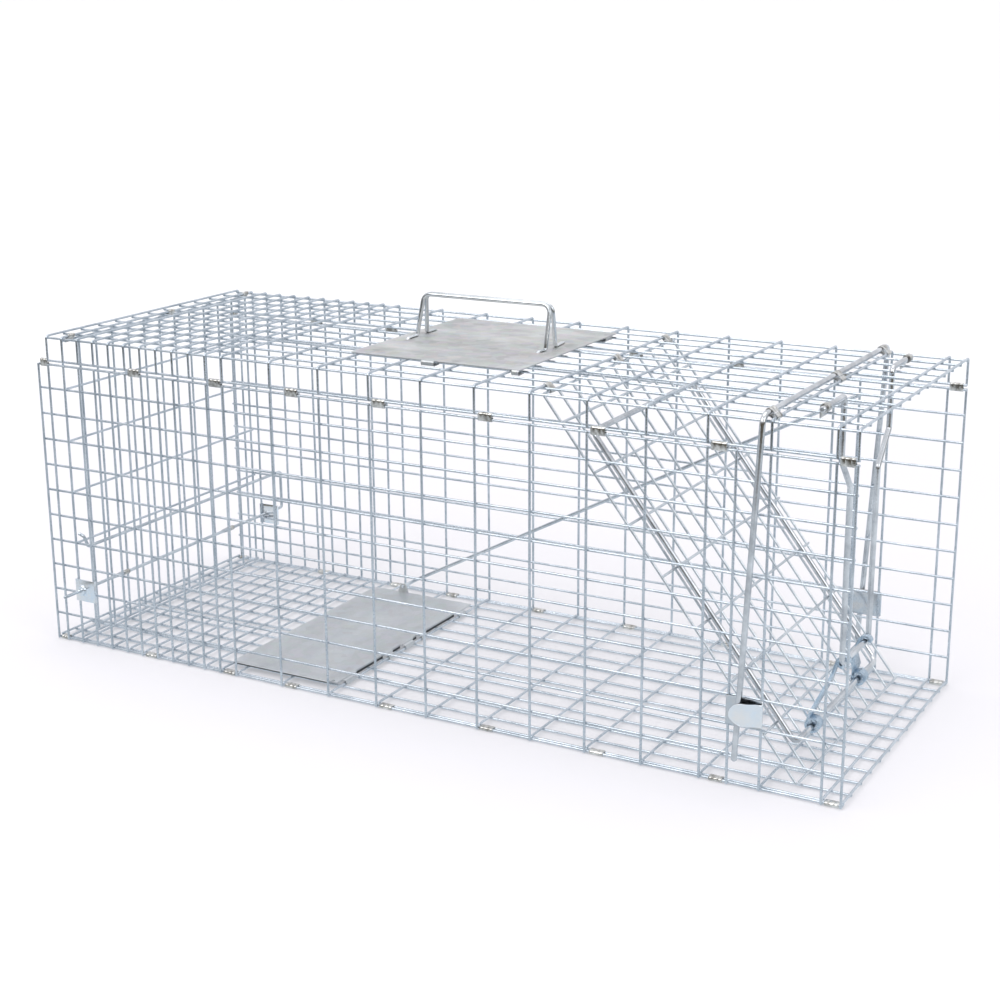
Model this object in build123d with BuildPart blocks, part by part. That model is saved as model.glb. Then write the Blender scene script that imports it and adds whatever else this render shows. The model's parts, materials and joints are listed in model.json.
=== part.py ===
from build123d import *
import math
import os

# ---------------------------------------------------------------------------
# Live catch trap: a folding cage of welded wire mesh with one sloping drop door.
# Millimetres. Origin: centre of the footprint on the resting plane.
# +X: towards the door end (front). +Y: left side. +Z: up.
# The door is modelled closed and locked, the treadle pan down.
# ---------------------------------------------------------------------------

# Cage
cage_length = 809.5  # between the end wires of a side panel
cage_width = 298.5  # between the upright wires of both side panels
cage_height = 305.0  # from the floor edge wires to the top cross wires
mesh_wire_radius = 1.05
weld_offset = 2.0  # centre distance of two crossing wires (they sink 0.1 mm into each other)
row_pitch = 25.4
lengthwise_pitch = 24.875
fine_pitch = 18.85  # cross wire spacing over the rear quarter
coarse_pitch = 52.14  # cross wire spacing over the rest
first_cross_wire = 12.3  # from the rear end
fine_count = 12
coarse_count = 11

floor_z = 2.01  # the floor seam clips rest on the ground plane
top_z = floor_z + cage_height
half_length = cage_length / 2
wall_y = cage_width / 2
row_y = wall_y - weld_offset
floor_edge_y = row_y - 3.6
side_top_z = 279.0
flange_bottom_z = 283.0

# Rods and trigger wire
rod_radius = 2.5
lock_wire_radius = 1.6
trigger_radius = 1.8
handle_radius = 2.0
running_gap = 0.07

# Crimped clips
clip_wall = 0.9
clip_gap = 0.06
clip_length = 13.0

# Door, hung under the top panel
hinge_x = 537.0 - half_length
hinge_z = 302.6
door_foot_x = 767.5 - half_length
door_foot_z = 6.0
door_half_width = 131.0
door_wire_pitch = 26.2
frame_lift = 3.6  # door stiffener rods lie on the front face of the door mesh
frame_top = 46.0
frame_bottom = 350.0
frame_half_width = 105.0

# Lock frame
lock_x = 768.0 - half_length
lock_pin_z = 310.75
lock_bar_z = 75.5
link_bore_radius = 4.1

# Brace frame
brace_top_x = 735.4 - half_length
brace_top_z = 310.75
brace_foot_x = 721.0 - half_length
brace_foot_z = 25.0
brace_y = 154.2

# Rear panel and its lock rod
rear_x = 25.4 - half_length
rear_half_width = 143.0
rear_lock_x = 36.0 - half_length
rear_lock_z = 57.0
rear_lock_upper_z = 98.5

# Treadle pan and trigger rod
pan_rear = 203.0 - half_length
pan_front = 322.0 - half_length
pan_right = -133.0
pan_left = 115.0
pan_sheet = 1.0
pan_z = 7.0
pan_wire_x = first_cross_wire + 11 * fine_pitch + 2 * coarse_pitch - half_length
pan_wire_z = floor_z + weld_offset
trigger_pin_x = 239.0 - half_length
trigger_pin_z = 14.0
trigger_y = 138.5
trigger_tip_x = 719.0 - half_length
trigger_tip_z = 268.0

# Handle and guard plate
plate_rear = 317.0 - half_length
plate_front = 490.0 - half_length
plate_right = -88.0
plate_left = 105.0
plate_z = 308.2
plate_sheet = 1.0


def from_rear(distance):
    """X of a point given its distance from the rear end of the cage."""
    return distance - half_length


# --- wires and rods --------------------------------------------------------
def wires_along_x(points, start, end, radius=mesh_wire_radius):
    """Parallel straight wires along X through the (y, z) points."""
    with BuildPart() as wires:
        with BuildSketch(Plane.YZ.offset(start)):
            with Locations(*points):
                Circle(radius)
        extrude(amount=end - start)
    return wires.part.solids()


def wires_along_y(points, start, end, radius=mesh_wire_radius):
    """Parallel straight wires along Y through the (x, z) points."""
    with BuildPart() as wires:
        with BuildSketch(Plane.XZ.offset(-end)):
            with Locations(*points):
                Circle(radius)
        extrude(amount=end - start)
    return wires.part.solids()


def wires_along_z(points, start, end, radius=mesh_wire_radius):
    """Parallel upright wires through the (x, y) points."""
    with BuildPart() as wires:
        with BuildSketch(Plane.XY.offset(start)):
            with Locations(*points):
                Circle(radius)
        extrude(amount=end - start)
    return wires.part.solids()


def round_ended_wires_along_y(points, half_span, radius=mesh_wire_radius):
    """Wires along Y with ball ends, so that a bent leg can start at each end."""
    with BuildPart() as one:
        with BuildSketch(Plane.XY) as half_profile:
            with BuildLine():
                Line((0, -half_span - radius), (0, half_span + radius))
                RadiusArc((0, half_span + radius), (radius, half_span), radius)
                Line((radius, half_span), (radius, -half_span))
                RadiusArc((radius, -half_span), (0, -half_span - radius), radius)
            make_face()
        revolve(axis=Axis.Y)
    with BuildPart() as wires:
        with Locations(*[(x, 0, z) for x, z in points]):
            add(one.part)
    return wires.part.solids()


def bent_rod(points, bend, radius, closed=False):
    """Round rod bent along the points, with rounded bends."""
    with BuildPart() as rod:
        with BuildLine() as path:
            FilletPolyline(*points, radius=bend, close=closed)
        with BuildSketch(Plane(origin=path.line @ 0, z_dir=path.line % 0)):
            Circle(radius)
        sweep()
    return rod.part


def group(name, solids):
    """One named piece, or one named group of pieces that belong together."""
    piece = Compound(list(solids))
    piece.label = name
    return piece


def save(piece):
    """Write one named piece to its own STEP file."""
    export_step(piece, f"parts/{piece.label}.step")


# --- crimped sheet clips ---------------------------------------------------
def clip(first, second, along, length, first_radius, second_radius, gap=clip_gap):
    """Sheet clip crimped round two parallel wires; the seam is on one flat side."""
    reach = second - first
    turn = Plane(origin=first - along * (length / 2), x_dir=reach, z_dir=along)
    with BuildPart() as ring:
        with BuildSketch(turn):
            with BuildSketch(mode=Mode.PRIVATE) as outline:
                Circle(first_radius + gap + clip_wall)
                with Locations((reach.length, 0)):
                    Circle(second_radius + gap + clip_wall)
                make_hull()
            add(outline.sketch)
            with BuildSketch(mode=Mode.PRIVATE) as opening:
                Circle(first_radius + gap)
                with Locations((reach.length, 0)):
                    Circle(second_radius + gap)
                make_hull()
            add(opening.sketch, mode=Mode.SUBTRACT)
            with Locations((reach.length / 2, -first_radius - gap)):
                Rectangle(0.4, 4 * clip_wall, mode=Mode.SUBTRACT)
        extrude(amount=length)
    return ring.part


# --- mesh panels -----------------------------------------------------------
def cross_positions():
    """X of the cross wires shared by floor, sides and top."""
    fine = [from_rear(first_cross_wire + fine_pitch * i) for i in range(fine_count)]
    coarse = [fine[-1] + coarse_pitch * j for j in range(1, coarse_count + 1)]
    return fine + coarse


def middle_lines():
    """Y of the lengthwise wires between the edges."""
    return [lengthwise_pitch * k for k in range(-5, 6)]


def floor_panel():
    """Floor mesh: lengthwise wires below, cross wires on top."""
    lines = [-floor_edge_y] + middle_lines() + [floor_edge_y]
    crosses = [-half_length] + cross_positions() + [half_length]
    lengthwise = wires_along_x(
        [(y, floor_z) for y in lines], -half_length - 1.0, half_length + 1.0
    )
    across = wires_along_y(
        [(x, floor_z + weld_offset) for x in crosses],
        -floor_edge_y - 1.5,
        floor_edge_y + 1.5,
    )
    return group("floor_panel", lengthwise + across)


def side_panel(name, side):
    """Side mesh: uprights outside, rows inside."""
    keeper_upright = from_rear(713.0)
    uprights = [-half_length] + cross_positions() + [keeper_upright, half_length]
    rows = [floor_z] + [floor_z + row_pitch * k for k in range(1, 11)] + [side_top_z]
    upright_wires = wires_along_z(
        [(x, side * wall_y) for x in uprights], floor_z - 1.0, side_top_z + 1.0
    )
    row_wires = wires_along_x(
        [(side * row_y, z) for z in rows], -half_length - 1.0, half_length + 1.0
    )
    return group(name, upright_wires + row_wires)


def top_panel():
    """Top mesh: cross wires bent down at both sides into short flanges."""
    crosses = cross_positions() + [half_length]
    lines = [-row_y] + middle_lines() + [row_y]
    spans = round_ended_wires_along_y([(x, top_z) for x in crosses], wall_y)
    legs = wires_along_z(
        [(x, side * wall_y) for x in crosses for side in (-1, 1)],
        flange_bottom_z - 1.0,
        top_z,
    )
    rear_end = from_rear(first_cross_wire) - 1.0
    lengthwise = wires_along_x(
        [(y, top_z - weld_offset) for y in lines], rear_end, half_length + 1.0
    )
    flange_rows = wires_along_x(
        [(side * row_y, flange_bottom_z) for side in (-1, 1)],
        rear_end,
        half_length + 1.0,
    )
    return group("top_panel", spans + legs + lengthwise + flange_rows)


def rear_panel():
    """Rear mesh, hung from the top panel."""
    spacing = rear_half_width / 6
    uprights = [(rear_x, spacing * k) for k in range(-6, 7)]
    rows = [5.6, 53.0, 102.6, 154.0, 205.0, 256.0, 302.4]
    upright_wires = wires_along_z(uprights, 4.6, 303.4)
    row_wires = wires_along_y(
        [(rear_x + weld_offset, z) for z in rows],
        -rear_half_width - 1.0,
        rear_half_width + 1.0,
    )
    return group("rear_panel", upright_wires + row_wires)


# --- door ------------------------------------------------------------------
door_angle = math.atan2(hinge_z - door_foot_z, door_foot_x - hinge_x)
door_length = math.hypot(hinge_z - door_foot_z, door_foot_x - hinge_x)
down_slope = Vector(math.cos(door_angle), 0, -math.sin(door_angle))
door_normal = Vector(math.sin(door_angle), 0, math.cos(door_angle))


def on_door(along, lift=0.0, y=0.0):
    """Point at a distance down the door and a lift above its cross wires."""
    point = Vector(hinge_x, 0, hinge_z) + down_slope * along + door_normal * lift
    return Vector(point.X, y, point.Z)


def door_panel():
    """Door mesh: cross wires on top, lengthwise wires below."""
    stations = [0.0, 28.0, 77.0, 128.0, 178.0, 228.0, 278.0, 328.0, door_length]
    across = wires_along_y(
        [(on_door(s).X, on_door(s).Z) for s in stations],
        -door_half_width - 1.0,
        door_half_width + 1.0,
    )
    start = Plane(origin=on_door(-1.0, -weld_offset), x_dir=(0, 1, 0), z_dir=down_slope)
    with BuildPart() as lengthwise:
        with BuildSketch(start):
            with Locations(*[(door_wire_pitch * k, 0) for k in range(-5, 6)]):
                Circle(mesh_wire_radius)
        extrude(amount=door_length + 1.0)
    return group("door_panel", across + lengthwise.part.solids())


def door_stiffener_frame():
    """Closed rectangle of rod on the front face of the door."""
    corners = [
        on_door(frame_top, frame_lift, frame_half_width),
        on_door(frame_bottom, frame_lift, frame_half_width),
        on_door(frame_bottom, frame_lift, -frame_half_width),
        on_door(frame_top, frame_lift, -frame_half_width),
    ]
    frame = bent_rod(corners, 7.0, rod_radius, closed=True)
    return group("door_stiffener_frame", frame.solids())


# --- lock frame and its links ---------------------------------------------
def lock_frame():
    """U-shaped rod: both ends are turned outwards as hinge pins."""
    half = [
        (lock_x, 115.0, lock_pin_z),
        (lock_x, 62.0, lock_pin_z),
        (lock_x, 62.0, 258.0),
        (lock_x, 36.0, 230.0),
        (lock_x, 40.0, lock_bar_z),
    ]
    other = [(x, -y, z) for x, y, z in reversed(half)]
    return group("lock_frame", bent_rod(half + other, 6.0, rod_radius).solids())


def pin_clip(side):
    """Eye round a lock frame pin; its foot hooks under a lengthwise top wire."""
    eye_y = side * 106.0
    wire_y = side * 4 * lengthwise_pitch
    under = top_z - weld_offset - mesh_wire_radius - 0.15
    with BuildPart() as eye:
        with BuildSketch(Plane.XZ.offset(-eye_y)):
            with Locations((lock_x, lock_pin_z)):
                Circle(rod_radius + running_gap + 1.2)
            with Locations((lock_x - rod_radius - 0.7, (lock_pin_z + under) / 2)):
                Rectangle(1.2, lock_pin_z - under + 2.4)
            with Locations((lock_x, lock_pin_z)):
                Circle(rod_radius + running_gap, mode=Mode.SUBTRACT)
        extrude(amount=3.5, both=True)
        with Locations((lock_x - rod_radius - 0.7, side * 102.0, under - 0.6)):
            Box(1.2, 12.0, 1.2)
        with Locations((lock_x - rod_radius - 0.7, wire_y - side * 3.0, under + 0.9)):
            Box(1.2, 1.2, 4.2)
    return eye.part


def lock_link(name, side):
    """Link plate: closed barrel round the door frame rod, open hook at the top."""
    foot = on_door(frame_bottom, frame_lift)
    rise = Vector(lock_x - foot.X, 0, lock_bar_z - foot.Z)
    up = rise.normalized()
    behind = Vector(-up.Z, 0, up.X)
    hook_y = side * 28.5
    barrel_y = side * 60.0
    face = Plane(origin=foot + behind * 4.3, x_dir=(0, 1, 0), z_dir=behind)
    tall = rise.length if face.y_dir.dot(up) > 0 else -rise.length
    with BuildPart() as link:
        with BuildSketch(Plane.XZ.offset(-barrel_y)):
            with Locations((foot.X, foot.Z)):
                Circle(rod_radius + running_gap + 4.0)
        extrude(amount=5.5, both=True)
        with BuildSketch(Plane.XZ.offset(-hook_y)):
            with Locations((lock_x, lock_bar_z)):
                Circle(5.7)
        extrude(amount=4.0, both=True)
        with BuildSketch(face):
            with BuildLine():
                Polyline(
                    (barrel_y - side * 5.5, 0),
                    (barrel_y + side * 5.5, 0),
                    (barrel_y + side * 5.5, tall * 0.22),
                    (hook_y + side * 4.0, tall * 0.74),
                    (hook_y + side * 4.0, tall),
                    (hook_y - side * 4.0, tall),
                    (hook_y - side * 4.0, tall * 0.55),
                    (barrel_y - side * 15.0, tall * 0.24),
                    close=True,
                )
            make_face()
        extrude(amount=2.0)
        with BuildSketch(Plane.XZ.offset(-barrel_y)):
            with Locations((foot.X, foot.Z)):
                Circle(link_bore_radius)
        extrude(amount=8.0, both=True, mode=Mode.SUBTRACT)
        with BuildSketch(Plane.XZ.offset(-hook_y)):
            with Locations((lock_x, lock_bar_z)):
                Circle(3.3)
            with BuildLine():
                Polyline(
                    (lock_x + 3.3 * math.cos(math.radians(5)), lock_bar_z + 3.3 * math.sin(math.radians(5))),
                    (lock_x + 14.0, lock_bar_z + 0.3),
                    (lock_x + 2.0, lock_bar_z - 14.0),
                    (lock_x - 1.2, lock_bar_z - 3.3),
                    close=True,
                )
            make_face()
        extrude(amount=5.0, both=True, mode=Mode.SUBTRACT)
    return group(name, link.part.solids())


# --- brace frame and keepers ----------------------------------------------
def brace_frame():
    """Large inverted U of rod that straddles the cage from outside."""
    points = [
        (brace_foot_x, -brace_y, brace_foot_z),
        (brace_top_x, -brace_y, brace_top_z),
        (brace_top_x, brace_y, brace_top_z),
        (brace_foot_x, brace_y, brace_foot_z),
    ]
    return group("brace_frame", bent_rod(points, 8.0, rod_radius).solids())


def front_keeper(name, side):
    """Sheet keeper on two uprights; its tongue closes over the brace rod."""
    rear_upright = from_rear(713.0)
    front_upright = cross_positions()[-2]
    base_in = 150.45
    base_out = 151.45
    tongue_in = 157.0
    tongue_out = 158.0
    rear_edge = rear_upright - mesh_wire_radius - 1.3
    front_edge = front_upright + mesh_wire_radius + 1.3
    with BuildPart() as keeper:
        with BuildSketch(Plane.XY.offset(55.0)):
            with BuildLine():
                Polyline(
                    (rear_edge, 148.6 * side),
                    (rear_edge, base_out * side),
                    (front_edge - 5.5, base_out * side),
                    (front_edge - 5.5, tongue_in * side),
                    (rear_edge + 5.0, tongue_in * side),
                    (rear_edge + 1.0, (tongue_in + 2.0) * side),
                    (rear_edge + 1.8, (tongue_out + 1.9) * side),
                    (rear_edge + 5.4, tongue_out * side),
                    (front_edge - 4.5, tongue_out * side),
                    (front_edge - 4.5, base_out * side),
                    (front_edge, base_out * side),
                    (front_edge, 148.6 * side),
                    (front_edge - 1.0, 148.6 * side),
                    (front_edge - 1.0, base_in * side),
                    (rear_edge + 1.0, base_in * side),
                    (rear_edge + 1.0, 148.6 * side),
                    close=True,
                )
            make_face()
        extrude(amount=25.0)
        with BuildSketch(Plane.XZ.offset(-side * 160.5)) as rounded_window:
            with Locations(((rear_edge + front_edge) / 2 - 1.0, 67.5)):
                Rectangle(60.0, 60.0)
                with Locations((-1.0, 0)):
                    RectangleRounded(29.0, 25.0, 9.0, mode=Mode.SUBTRACT)
        extrude(amount=side * 5.0, mode=Mode.SUBTRACT)
    return group(name, keeper.part.solids())


# --- rear lock -------------------------------------------------------------
def rear_keeper(name, side):
    """Sheet plate on two uprights with a bored bulge for the lock rod."""
    rear_upright = from_rear(31.15)
    front_upright = from_rear(50.0)
    rear_edge = rear_upright - mesh_wire_radius - 1.3
    front_edge = front_upright + mesh_wire_radius + 1.3
    with BuildPart() as keeper:
        with BuildSketch(Plane.XY.offset(rear_lock_z - 11.0)):
            with BuildLine():
                Polyline(
                    (rear_edge, 148.6 * side),
                    (rear_edge, 151.65 * side),
                    (front_edge, 151.65 * side),
                    (front_edge, 148.6 * side),
                    (front_edge - 1.0, 148.6 * side),
                    (front_edge - 1.0, 150.45 * side),
                    (rear_edge + 1.0, 150.45 * side),
                    (rear_edge + 1.0, 148.6 * side),
                    close=True,
                )
            make_face()
        extrude(amount=22.0)
        with BuildSketch(Plane.XZ.offset(-side * 151.0)):
            with Locations((rear_lock_x, rear_lock_z)):
                Circle(6.0)
        extrude(amount=-side * 3.0, taper=12)
        with BuildSketch(Plane.XZ.offset(-side * 145.0)):
            with Locations((rear_lock_x, rear_lock_z)):
                Circle(lock_wire_radius + running_gap)
        extrude(amount=-side * 20.0, mode=Mode.SUBTRACT)
    return group(name, keeper.part.solids())


def rear_lock_rod():
    """Hairpin of spring wire with a turned-up finger end."""
    points = [
        (rear_lock_x, -176.0, rear_lock_z),
        (rear_lock_x, 180.0, rear_lock_z),
        (rear_lock_x, 180.0, rear_lock_upper_z),
        (rear_lock_x, -138.0, rear_lock_upper_z),
        (rear_lock_x, -143.0, 110.0),
        (from_rear(30.2), -143.0, 112.0),
    ]
    return group("rear_lock_rod", bent_rod(points, 3.0, lock_wire_radius).solids())


# --- treadle pan, trigger rod ---------------------------------------------
def treadle_pan():
    """Sheet pan with a turned-down lip, rolled hinge tabs and a trigger ear."""
    eye_inner = mesh_wire_radius + running_gap
    eye_outer = eye_inner + 0.85
    tab_spans = ((-122.0, -102.0), (-48.0, -38.5), (-18.0, -2.5), (12.0, 22.5), (85.0, 97.0))
    with BuildPart() as pan:
        with Locations(((pan_rear + pan_front) / 2, (pan_right + pan_left) / 2, pan_z + pan_sheet / 2)):
            Box(pan_front - pan_rear, pan_left - pan_right, pan_sheet)
        with Locations(((pan_rear + pan_front) / 2, pan_right + pan_sheet / 2, pan_z - 0.4)):
            Box(pan_front - pan_rear, pan_sheet, 2.8)
        for low, high in tab_spans:
            with BuildSketch(Plane.XZ.offset(-(low + high) / 2)):
                with Locations((pan_wire_x, pan_wire_z)):
                    Circle(eye_outer)
                with BuildLine():
                    Polyline(
                        (pan_front - 3.0, pan_z),
                        (pan_front - 3.0, pan_z + pan_sheet),
                        (pan_front + 0.5, pan_z + pan_sheet),
                        (pan_wire_x + 1.9, pan_wire_z + 0.9),
                        (pan_wire_x, pan_wire_z + 1.2),
                        close=True,
                    )
                make_face()
                with Locations((pan_wire_x, pan_wire_z)):
                    Circle(eye_inner, mode=Mode.SUBTRACT)
            extrude(amount=(high - low) / 2, both=True)
        with BuildSketch(Plane.XZ.offset(-pan_left)):
            with BuildLine():
                Polyline(
                    (trigger_pin_x - 8.0, pan_z),
                    (trigger_pin_x - 4.5, trigger_pin_z + 4.5),
                    (trigger_pin_x + 4.5, trigger_pin_z + 4.5),
                    (trigger_pin_x + 8.0, pan_z),
                    close=True,
                )
            make_face()
            with Locations((trigger_pin_x, trigger_pin_z)):
                Circle(trigger_radius + running_gap, mode=Mode.SUBTRACT)
        extrude(amount=pan_sheet)
    return group("treadle_pan", pan.part.solids())


def trigger_rod():
    """Straight rod along the left wall; its lower end is turned into the pan ear."""
    points = [
        (trigger_pin_x, pan_left - 7.0, trigger_pin_z),
        (trigger_pin_x, trigger_y, trigger_pin_z),
        (trigger_tip_x, trigger_y, trigger_tip_z),
    ]
    return group("trigger_rod", bent_rod(points, 3.0, trigger_radius).solids())


# --- handle and guard plate -----------------------------------------------
def handle_guard_plate():
    """Sheet plate on the top mesh with hold-down tabs and four slits."""
    rear_tabs = (-37.3, 62.2)
    front_tab_y = 87.0
    near_tabs = ((-6.0, 13.0), (81.4, 7.0))
    hook_z = top_z - weld_offset - 0.3
    side_hook_z = top_z - weld_offset - mesh_wire_radius - 1.3
    middle_x = (plate_rear + plate_front) / 2
    middle_y = (plate_right + plate_left) / 2
    with BuildPart() as plate:
        with Locations((middle_x, middle_y, plate_z + plate_sheet / 2)):
            Box(plate_front - plate_rear, plate_left - plate_right, plate_sheet)
        for y in rear_tabs:
            with Locations((plate_rear + 0.5, y, (plate_z + plate_sheet + hook_z) / 2)):
                Box(1.0, 12.0, plate_z + plate_sheet - hook_z)
            with Locations((plate_rear + 5.5, y, hook_z + 0.5)):
                Box(11.0, 12.0, 1.0)
        with Locations((plate_front - 0.5, front_tab_y, (plate_z + plate_sheet + hook_z) / 2)):
            Box(1.0, 14.0, plate_z + plate_sheet - hook_z)
        with Locations((plate_front - 6.5, front_tab_y, hook_z + 0.5)):
            Box(13.0, 14.0, 1.0)
        for x, wide in near_tabs:
            with Locations((x, plate_right + 0.5, (plate_z + plate_sheet + side_hook_z) / 2)):
                Box(wide, 1.0, plate_z + plate_sheet - side_hook_z)
            with Locations((x, plate_right + 8.5, side_hook_z + 0.5)):
                Box(wide, 17.0, 1.0)
        for x, y in handle_slits():
            with Locations((x, y, plate_z + plate_sheet / 2)):
                Box(5.0, 9.0, 4.0, mode=Mode.SUBTRACT)
    return group("handle_guard_plate", plate.part.solids())


def handle_slits():
    """Centres of the slits that take the four handle feet."""
    return [
        (from_rear(331.0), -13.0),
        (from_rear(331.0), 37.0),
        (from_rear(467.5), -13.0),
        (from_rear(467.5), 37.0),
    ]


def handle_wire(top_y, rear_foot_y, front_foot_y, slit_y):
    """One of the two handle wires: a flat-topped U with feet turned outwards."""
    foot_z = plate_z + plate_sheet + handle_radius + 0.05
    rear_slit = from_rear(331.0)
    front_slit = from_rear(467.5)
    points = [
        (rear_slit, slit_y, plate_z - 4.0),
        (rear_slit, slit_y, foot_z),
        (from_rear(331.0), rear_foot_y, foot_z),
        (from_rear(337.5), top_y, 349.0),
        (from_rear(470.0), top_y, 349.0),
        (from_rear(470.5), front_foot_y, foot_z),
        (front_slit, slit_y, foot_z),
        (front_slit, slit_y, plate_z - 4.0),
    ]
    bends = [2.5, 2.5, 8.0, 8.0, 2.5, 2.5]
    return bent_rod(points, bends, handle_radius)


def carry_handle():
    """Two handle wires side by side."""
    right_wire = handle_wire(6.6, 4.5, -3.5, -13.0)
    left_wire = handle_wire(10.8, 21.5, 15.0, 37.0)
    return group("carry_handle", right_wire.solids() + left_wire.solids())


# --- clip groups -----------------------------------------------------------
def seam_clips(name, stations, first, second, side):
    """Row of crimped clips along one long seam."""
    clips = []
    for distance, length in stations:
        start = Vector(from_rear(distance), side * first[0], first[1])
        end = Vector(from_rear(distance), side * second[0], second[1])
        ring = clip(start, end, Vector(1, 0, 0), length, mesh_wire_radius, mesh_wire_radius)
        clips += ring.solids()
    return group(name, clips)


def cross_clips(name, spots, first, second, first_radius, second_radius, length, gap):
    """Clips that wrap two wires running across the cage."""
    clips = []
    for y in spots:
        start = Vector(first[0], y, first[1])
        end = Vector(second[0], y, second[1])
        ring = clip(start, end, Vector(0, 1, 0), length, first_radius, second_radius, gap)
        clips += ring.solids()
    return group(name, clips)


def main():
    os.makedirs("parts", exist_ok=True)
    top_cross = cross_positions()
    top_stations = [
        (6.3, 8.6),
        (116.0, clip_length),
        (210.2, clip_length),
        (294.0, clip_length),
        (385.0, clip_length),
        (490.0, clip_length),
        (594.0, clip_length),
        (698.0, clip_length),
        (801.4, 12.0),
    ]
    floor_stations = [
        (6.3, 8.6),
        (116.0, clip_length),
        (210.2, clip_length),
        (281.0, clip_length),
        (385.0, clip_length),
        (488.5, clip_length),
        (595.0, clip_length),
        (703.0, 12.0),
        (801.4, 12.0),
    ]
    top_seam = ((row_y, side_top_z), (row_y, flange_bottom_z))
    floor_seam = ((floor_edge_y, floor_z), (row_y, floor_z))
    save(floor_panel())
    save(side_panel("right_side_panel", -1))
    save(side_panel("left_side_panel", 1))
    save(top_panel())
    save(rear_panel())
    save(seam_clips("right_top_seam_clips", top_stations, *top_seam, -1))
    save(seam_clips("left_top_seam_clips", top_stations, *top_seam, 1))
    save(seam_clips("right_floor_seam_clips", floor_stations, *floor_seam, -1))
    save(seam_clips("left_floor_seam_clips", floor_stations, *floor_seam, 1))
    save(
        cross_clips(
            "rear_panel_clips",
            (-136.0, 12.4, 136.0),
            (rear_x + weld_offset, 302.4),
            (from_rear(31.15), top_z),
            mesh_wire_radius,
            mesh_wire_radius,
            9.0,
            clip_gap,
        )
    )
    save(
        cross_clips(
            "door_hinge_clips",
            (-118.0, 13.0, 118.0),
            (hinge_x, hinge_z),
            (top_cross[17], top_z),
            mesh_wire_radius,
            mesh_wire_radius,
            9.0,
            running_gap,
        )
    )
    save(door_panel())
    save(door_stiffener_frame())
    save(lock_frame())
    save(group("lock_frame_pin_clips", pin_clip(-1).solids() + pin_clip(1).solids()))
    save(lock_link("lock_link_right", -1))
    save(lock_link("lock_link_left", 1))
    save(brace_frame())
    save(
        cross_clips(
            "brace_frame_clips",
            (-137.0, 12.4, 137.0),
            (brace_top_x, brace_top_z),
            (top_cross[21], top_z),
            rod_radius,
            mesh_wire_radius,
            10.0,
            running_gap,
        )
    )
    save(front_keeper("front_keeper_right", -1))
    save(front_keeper("front_keeper_left", 1))
    save(rear_keeper("rear_keeper_right", -1))
    save(rear_keeper("rear_keeper_left", 1))
    save(rear_lock_rod())
    save(
        cross_clips(
            "rear_lock_rod_clips",
            (-86.0, 86.0),
            (rear_lock_x, rear_lock_z),
            (rear_x + weld_offset, 53.0),
            lock_wire_radius,
            mesh_wire_radius,
            8.0,
            running_gap,
        )
    )
    save(treadle_pan())
    save(trigger_rod())
    save(handle_guard_plate())
    save(carry_handle())


main()
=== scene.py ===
import json
import math
import random

import bmesh
import bpy
import numpy as np
from mathutils import Matrix, Vector
from mathutils.geometry import delaunay_2d_cdt, intersect_line_line


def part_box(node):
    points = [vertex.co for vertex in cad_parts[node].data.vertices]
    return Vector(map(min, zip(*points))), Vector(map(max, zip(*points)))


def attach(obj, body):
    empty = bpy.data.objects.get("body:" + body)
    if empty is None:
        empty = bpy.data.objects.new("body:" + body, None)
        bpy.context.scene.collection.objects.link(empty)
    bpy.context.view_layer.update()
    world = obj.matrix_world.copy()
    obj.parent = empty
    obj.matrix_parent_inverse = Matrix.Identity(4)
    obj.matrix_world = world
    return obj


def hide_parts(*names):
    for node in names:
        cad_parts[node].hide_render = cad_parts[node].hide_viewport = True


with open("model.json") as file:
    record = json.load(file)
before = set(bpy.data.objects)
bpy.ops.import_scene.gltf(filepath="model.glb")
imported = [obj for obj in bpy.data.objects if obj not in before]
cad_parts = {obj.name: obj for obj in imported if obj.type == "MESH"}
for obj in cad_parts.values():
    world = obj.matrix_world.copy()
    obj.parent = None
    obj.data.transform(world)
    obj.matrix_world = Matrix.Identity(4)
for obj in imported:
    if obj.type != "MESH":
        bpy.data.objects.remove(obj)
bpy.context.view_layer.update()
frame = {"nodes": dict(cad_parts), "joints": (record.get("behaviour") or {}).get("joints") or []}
rng = random.Random(11)
MM = 0.001

# Radii in millimetres. Mesh wires are drawn ZINC larger than packed, to bring their tone nearer the photo.
WIRE = 1.05
ZINC = 0.09
ROD = 2.5
HAIRPIN = 1.6
TRIGGER = 1.8
HANDLE = 2.0

# x of the centres of the rearmost mesh wires.
CAGE_REAR = -404.75


def box_mm(node):
    """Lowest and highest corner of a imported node, in millimetres."""
    low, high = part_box(node)
    return low / MM, high / MM


floor_high = box_mm("floor_panel")[1]
top_high = box_mm("top_panel")[1]
lock_low, lock_high = box_mm("lock_frame")
brace_low, brace_high = box_mm("brace_frame")
plate_low, plate_high = box_mm("handle_guard_plate")
handle_low, handle_high = box_mm("carry_handle")
pan_low = box_mm("treadle_pan")[0]
trigger_high = box_mm("trigger_rod")[1]
hairpin_low, hairpin_high = box_mm("rear_lock_rod")
joints = {j["name"]: j for j in frame["joints"]}


def joint_point(name):
    """Place of a hinge in millimetres."""
    return Vector(joints[name]["pos_m"]) / MM


# ---------------------------------------------------------------------------
# Materials
# ---------------------------------------------------------------------------
def node_link(tree, source, target):
    """Joins an output to an input."""
    tree.links.new(source, target)


def remap(tree, source, low, high, to_low=0.0, to_high=1.0, smooth=False):
    """A value carried from one range to another, held at both ends."""
    node = tree.nodes.new("ShaderNodeMapRange")
    if smooth:
        node.interpolation_type = "SMOOTHSTEP"
    node.inputs["From Min"].default_value = low
    node.inputs["From Max"].default_value = high
    node.inputs["To Min"].default_value = to_low
    node.inputs["To Max"].default_value = to_high
    node_link(tree, source, node.inputs["Value"])
    return node.outputs["Result"]


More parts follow.
